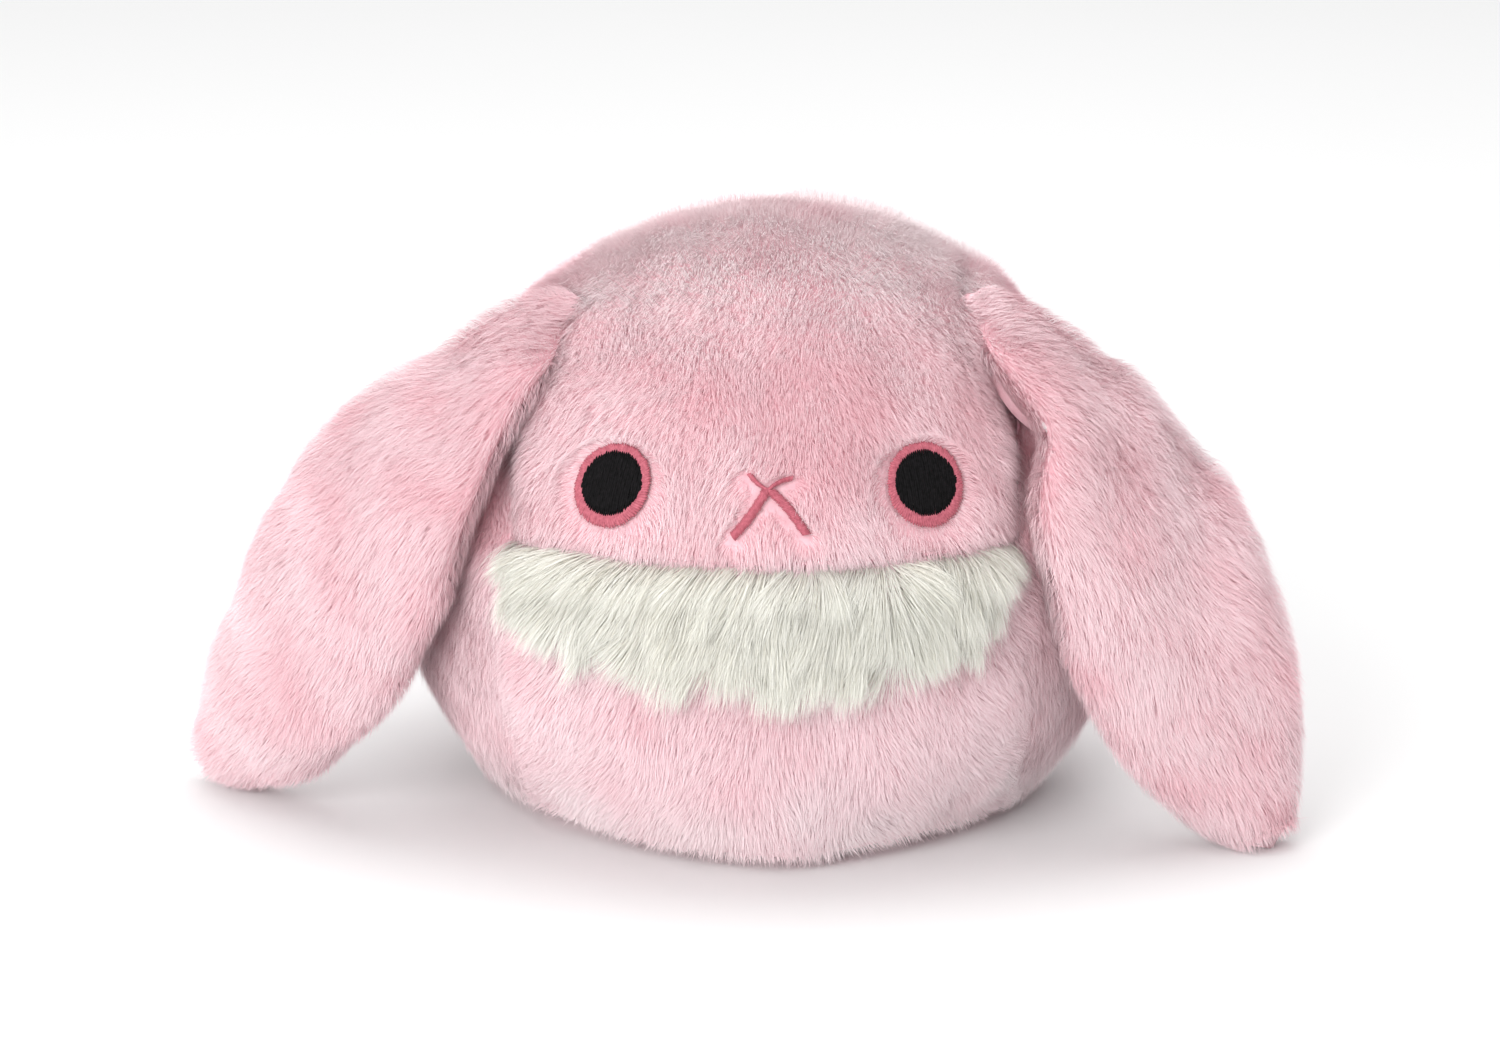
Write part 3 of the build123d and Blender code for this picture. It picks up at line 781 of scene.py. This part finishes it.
def make_ruff(points, normals, triangles, owners):
    """The long fur that hangs from the neck seam, rooted in the belly's skin."""
    rng = np.random.default_rng(300)
    band = points[triangles].mean(1)
    own = triangles[(owners == "belly") & (band[:, 2] > 24) & (band[:, 1] < -4)]
    roots, root_normals = sample(points, normals, own, RUFF_DENSITY, rng)
    x, z = roots[:, 0], roots[:, 2]
    depth = NECK_SEAM_Z - z
    keep = depth < 0.62 * ruff_drop(x) * (1 + 0.12 * waves(roots, 6, 108))
    keep &= (x > -29.5) & (x < 28.8 - 0.3 * depth)
    roots, root_normals, x, z, depth = (v[keep] for v in (roots, root_normals, x, z, depth))
    count = len(roots)
    combed = np.tile([0.0, 0, -1.0], (count, 1))
    combed[:, 0] = -0.25 + 0.4 * x / SIDE_SEAM_X - 0.75 * smoothstep(18, 31, x)
    combed[:, 0] += 0.6 * smoothstep(18, 31, -x)
    combed = combed + 0.30 * wave_vectors(roots, 11, 101) + 0.12 * wave_vectors(roots, 4, 104)
    combed = tangent(combed, root_normals)
    combed = tangent(combed + 0.12 * rng.normal(size=roots.shape), root_normals)
    length = np.clip(1.05 * ruff_drop(x) - depth, 3.2, 7.5)
    length *= 1 + 0.14 * waves(roots, 4.0, 105) + 0.1 * rng.normal(size=count)
    length *= 1 - 0.4 * smoothstep(23, 30, x)
    paths = bend(
        roots - ROOT_DEPTH * root_normals, root_normals, combed, length,
        40 + 7 * rng.normal(size=count) + 4 * waves(roots, 5, 106),
        80 + 6 * rng.normal(size=count), RUFF_KNOTS,
    )
    # Locks: the fibres near each other gather towards one tip.
    seeds = rng.choice(count, int(count * 0.03), replace=False)
    lock = seeds[nearest(roots[seeds], roots)]
    pull = (np.linspace(0, 1, RUFF_KNOTS) ** 2 * 0.14)[None, :, None]
    paths = paths + (paths[lock] - paths) * pull
    tint_and_shading = np.clip(0.55 + 0.15 * rng.normal(size=count), 0, 1)
    pieces = fibres("ruff_pile", paths, root_normals, fibre_widths(count, rng), tint_and_shading, rng)
    for piece in pieces:
        finish_piece(piece, "torso", CREAM_PILE)
    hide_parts("fur_ruff")


# --- Embroidery -----------------------------------------------------------------------
def tube(path, radius, flat, normals):
    """A closed thread along the path, flattened towards the cloth."""
    path, normals = np.asarray(path), np.asarray(normals)
    runs = unit(np.gradient(path, axis=0))
    across = unit(np.cross(runs, normals))
    angles = np.linspace(0, 2 * math.pi, THREAD_SIDES, endpoint=False)
    ends = np.ones(len(path))
    ends[[0, -1]] = 0.45
    rings = (
        path[:, None]
        + across[:, None] * (radius * ends[:, None] * np.cos(angles))[..., None]
        + normals[:, None] * (radius * flat * ends[:, None] * np.sin(angles))[..., None]
    )
    grid, wall = ring_triangles(len(path), THREAD_SIDES)
    last = grid[-1]
    fans = [[0, k + 1, k] for k in range(1, THREAD_SIDES - 1)]
    fans += [[last[0], last[k], last[k + 1]] for k in range(1, THREAD_SIDES - 1)]
    return rings.reshape(-1, 3), np.concatenate([wall[:, [0, 2, 1]], np.array(fans)])


def threads(name, tubes, material, node):
    """One piece from many threads, in a CAD node's place."""
    points, triangles, total = [], [], 0
    for tube_points, tube_triangles in tubes:
        points.append(tube_points)
        triangles.append(tube_triangles + total)
        total += len(tube_points)
    piece = new_mesh(name, np.concatenate(points), np.concatenate(triangles))
    finish_piece(piece, "torso", material)
    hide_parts(node)


def on_face(azimuth, elevation, across, up, height):
    """Points at a height over the skin, at flat offsets from a place, with their normals."""
    facing = ray(azimuth, elevation)
    right = np.array([math.cos(math.radians(azimuth)), math.sin(math.radians(azimuth)), 0])
    upward = np.cross(facing, right)
    rays = unit(facing * BALL_RADIUS + np.outer(across, right) + np.outer(up, upward))
    return ball_skin(rays) + rays * np.reshape(height, (-1, 1)), rays


def make_eye(side, name):
    """Upright rows of satin thread for the pupil, and radial threads for the ring."""
    rng = np.random.default_rng(400 + side)
    place = (side * EYE_AZIMUTH, EYE_ELEVATION)
    pitch, knots = 0.27, 9
    tubes = []
    for row in np.arange(-PUPIL_RADIUS + pitch / 2, PUPIL_RADIUS, pitch):
        reach = math.sqrt(max(PUPIL_RADIUS**2 - row**2, 0.05)) + rng.uniform(-0.12, 0.12)
        across = np.linspace(-reach, reach, knots)
        wobble = row + 0.03 * rng.normal(size=knots)
        crown = 1 - (np.hypot(across, row) / PUPIL_RADIUS) ** 2
        height = 0.85 + 0.35 * crown + 0.03 * rng.normal(size=knots)
        path, normals = on_face(*place, wobble, across, height)
        tubes.append(tube(path, 0.19, 0.8, normals))
    threads(f"eye_pupil_thread_{name}", tubes, BLACK_THREAD, f"eye_pupil_{name}")
    tubes = []
    count, knots = 96, 6
    for angle in np.linspace(0, 2 * math.pi, count, endpoint=False):
        outer = EYE_RING_RADIUS + 0.12 * math.sin(angle - math.pi) + rng.uniform(-0.1, 0.1)
        outer += 0.25 * max(0, -math.sin(angle)) + 0.12 * max(0, side * math.cos(angle))
        radii = np.linspace(PUPIL_RADIUS - 0.5, outer, knots)
        turned = angle + np.linspace(-0.05, 0.05, knots)
        arch = np.sin(np.linspace(0.1, math.pi - 0.2, knots))
        height = 0.6 + 0.25 * arch + 0.02 * rng.normal(size=knots)
        path, normals = on_face(*place, radii * np.cos(turned), radii * np.sin(turned), height)
        tubes.append(tube(path, 0.2, 0.7, normals))
    threads(f"eye_ring_thread_{name}", tubes, ROSE_THREAD, f"eye_ring_{name}")


def make_mouth():
    """Satin threads laid across the mouth's and the nose's lines."""
    rng = np.random.default_rng(450)
    for label, lines, width, node in (
        ("mouth_thread_right", MOUTH_LINES[:1], 1.15, "mouth_stitch_right"),
        ("mouth_thread_left", MOUTH_LINES[1:2], 1.15, "mouth_stitch_left"),
        ("nose_thread", MOUTH_LINES[2:], 0.5, "nose_stitch"),
    ):
        tubes = []
        for line in lines:
            start, end = np.array(line)
            run = end - start
            span = np.linalg.norm(run)
            normal = np.array([-run[1], run[0]]) / span
            for t in np.arange(0, span, 0.2):
                middle = start + run * t / span + normal * 0.25 * math.sin(t / span * math.pi)
                half = normal * width / 2 * rng.uniform(0.85, 1.1)
                slant = run / span * 0.25
                offsets = np.array([middle + (half + slant) * k for k in (-1, -0.5, 0, 0.5, 1)])
                height = 0.85 + np.array([-0.3, 0.02, 0.1, 0.02, -0.3]) + 0.03 * rng.normal()
                path, normals = on_face(0, NOSE_ELEVATION, offsets[:, 0], offsets[:, 1], height)
                tubes.append(tube(path, 0.14, 0.9, normals))
        threads(label, tubes, ROSE_THREAD, node)


# --- Seam stitches --------------------------------------------------------------------
def stitches(name, rays, node):
    """Short stitches along the directions' path on the skin."""
    line = ball_skin(rays)
    spans = np.append(0, np.cumsum(np.linalg.norm(np.diff(line, axis=0), axis=1)))
    tubes = []
    knots = 5
    for start in np.arange(0, spans[-1] - STITCH_LENGTH, STITCH_PITCH):
        at = np.linspace(start, start + STITCH_LENGTH, knots)
        path = np.stack([np.interp(at, spans, line[:, k]) for k in range(3)], axis=1)
        normals = unit(path - CENTRE)
        path += normals * (0.05 + 0.2 * np.sin(np.linspace(0, math.pi, knots)))[:, None]
        tubes.append(tube(path, 0.25, 0.9, normals))
    threads(name, tubes, PINK_THREAD, node)


def make_seams():
    """The stitches along the side, neck and base seams."""
    steps = 240
    side_steps = 200
    ring = math.sqrt(BALL_RADIUS**2 - SIDE_SEAM_X**2)
    for name, side in (("left", -1), ("right", 1)):
        turn = np.radians(np.linspace(-50, 230, side_steps))
        across = np.full(side_steps, side * SIDE_SEAM_X)
        places = np.stack([across, -ring * np.cos(turn), ring * np.sin(turn)], axis=1)
        stitches(f"side_seam_stitches_{name}", unit(places), f"side_seam_thread_{name}")
    for name, height, low, high, node in (
        ("neck_seam_stitches", NECK_SEAM_Z, -45, 45, "neck_seam_thread"),
        ("base_seam_stitches", BASE_SEAM_Z, -180, 179, "base_seam_thread"),
    ):
        lift = height - CENTRE[2]
        level = math.sqrt(BALL_RADIUS**2 - lift**2)
        turn = np.radians(np.linspace(low, high, steps))
        places = np.stack(
            [level * np.sin(turn), -level * np.cos(turn), np.full(steps, lift)], axis=1
        )
        stitches(name, unit(places), node)


# --- Tail -----------------------------------------------------------------------------
def make_tail():
    """A little ball of cream fabric under loose pile."""
    rng = np.random.default_rng(500)
    low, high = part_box("tail_puff")
    middle = np.array((low + high) / 2) / MM
    rays, triangles = unit_sphere(4)
    points = middle + rays * (TAIL_SKIN_RADIUS + 0.3 * waves(rays * 6, 5, 501))[:, None]
    normals = vertex_normals(points, triangles)
    skin = new_mesh("tail_skin", points, triangles)
    finish_piece(skin, "torso", CREAM_GROUND)
    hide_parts("tail_puff")
    roots, root_normals = sample(points, normals, triangles, PILE_DENSITY * 1.3, rng)
    count = len(roots)
    combed = np.tile([0.0, 0.2, -1.0], (count, 1)) + 0.5 * wave_vectors(roots, 4, 502)
    combed = tangent(combed, root_normals)
    combed = tangent(combed + 0.3 * rng.normal(size=roots.shape), root_normals)
    paths = bend(
        roots, root_normals, combed, 4.0 * (1 + 0.12 * rng.normal(size=count)),
        12 + 10 * rng.normal(size=count), 55 + 12 * rng.normal(size=count), TAIL_KNOTS,
    )
    tint_and_shading = np.clip(0.6 + 0.3 * rng.normal(size=count), 0, 1)
    width = fibre_widths(count, rng, 1.1)
    for piece in fibres("tail_pile", paths, root_normals, width, tint_and_shading, rng):
        finish_piece(piece, "torso", CREAM_PILE)


# --- The pieces inside ----------------------------------------------------------------
def make_filling():
    """The fibre that fills the body, under its skin."""
    rays, triangles = unit_sphere(5)
    skin = ball_skin(rays)
    points = CENTRE + (skin - CENTRE) * 0.93 - rays * (0.5 + 0.3 * waves(skin, 6, 601))[:, None]
    filling = new_mesh("fibre_filling", points, triangles)
    finish_piece(filling, "torso", FIBRE_FILLING)
    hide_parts("body_stuffing")


def dress(nodes, slot_material):
    """Gives CAD nodes that are shown as they are their material."""
    for node in nodes:
        piece = frame["nodes"][node]
        piece.data.materials.clear()
        piece.data.materials.append(slot_material)


body = make_body()
make_ruff(*body)
for ear in ("left", "right"):
    make_ear(ear)
for eye_side, eye_name in ((-1, "left"), (1, "right")):
    make_eye(eye_side, eye_name)
make_mouth()
make_seams()
make_tail()
dress(["closing_stitch"], PINK_THREAD)
dress(["ear_root_left", "ear_root_right"], PINK_GROUND)
dress(["embroidery_backing"], BACKING_CLOTH)
dress(["pellet_pouch"], POUCH_CLOTH)
dress(["pellets"], PELLET_PLASTIC)
dress(["ear_wadding_left", "ear_wadding_right"], FIBRE_FILLING)
make_filling()


# --- Stage ----------------------------------------------------------------------------
# Places and sizes here are in metres, but for the floor's.
FLOOR_HALF_WIDTH = 6000.0


def make_floor():
    corners = np.array([(-1, -1, 0), (1, -1, 0), (1, 1, 0), (-1, 1, 0)]) * FLOOR_HALF_WIDTH
    piece = new_mesh("floor", corners, np.array([(0, 1, 2), (0, 2, 3)]))
    material, nodes, links, shader = new_material("floor_paper", 0.9)
    noise = add_noise(nodes, links, 3.0)
    stops = [(0.0, (0.86, 0.86, 0.86)), (1.0, (0.89, 0.89, 0.89))]
    add_grain(nodes, links, shader, noise, stops)
    piece.data.materials.append(material)


def add_softbox(name, place, target, size, watts):
    light = bpy.data.lights.new(name, "AREA")
    light.shape, light.size, light.energy = "DISK", size, watts
    holder = bpy.data.objects.new(name, light)
    bpy.context.scene.collection.objects.link(holder)
    holder.location = place
    holder.rotation_euler = (Vector(target) - Vector(place)).to_track_quat("-Z", "Y").to_euler()


make_floor()
world = bpy.data.worlds.new("studio")
world.use_nodes = True
world.node_tree.nodes["Background"].inputs["Color"].default_value = (1.0, 1.0, 1.0, 1)
world.node_tree.nodes["Background"].inputs["Strength"].default_value = 0.8
bpy.context.scene.world = world
MIDDLE = (0, 0, 0.035)
add_softbox("key", (-0.34, -0.72, 0.34), MIDDLE, 0.5, 5.0)
add_softbox("top", (0.0, 0.1, 0.85), MIDDLE, 0.8, 3.0)

CAMERA_ELEVATION = 15.0
CAMERA_DISTANCE = 0.62
VIEW_WIDTH = 0.1875
aim = Vector((-0.0021, 0, 0.033))
camera = bpy.data.cameras.new("camera")
camera.sensor_width = 36.0
camera.lens = camera.sensor_width * CAMERA_DISTANCE / VIEW_WIDTH
holder = bpy.data.objects.new("camera", camera)
bpy.context.scene.collection.objects.link(holder)
tilt = math.radians(CAMERA_ELEVATION)
holder.location = aim + CAMERA_DISTANCE * Vector((0, -math.cos(tilt), math.sin(tilt)))
holder.rotation_euler = (math.pi / 2 - tilt, 0, 0)
camera.clip_start, camera.clip_end = 0.05, 40.0
bpy.context.scene.camera = holder
bpy.context.scene.view_settings.view_transform = "Standard"
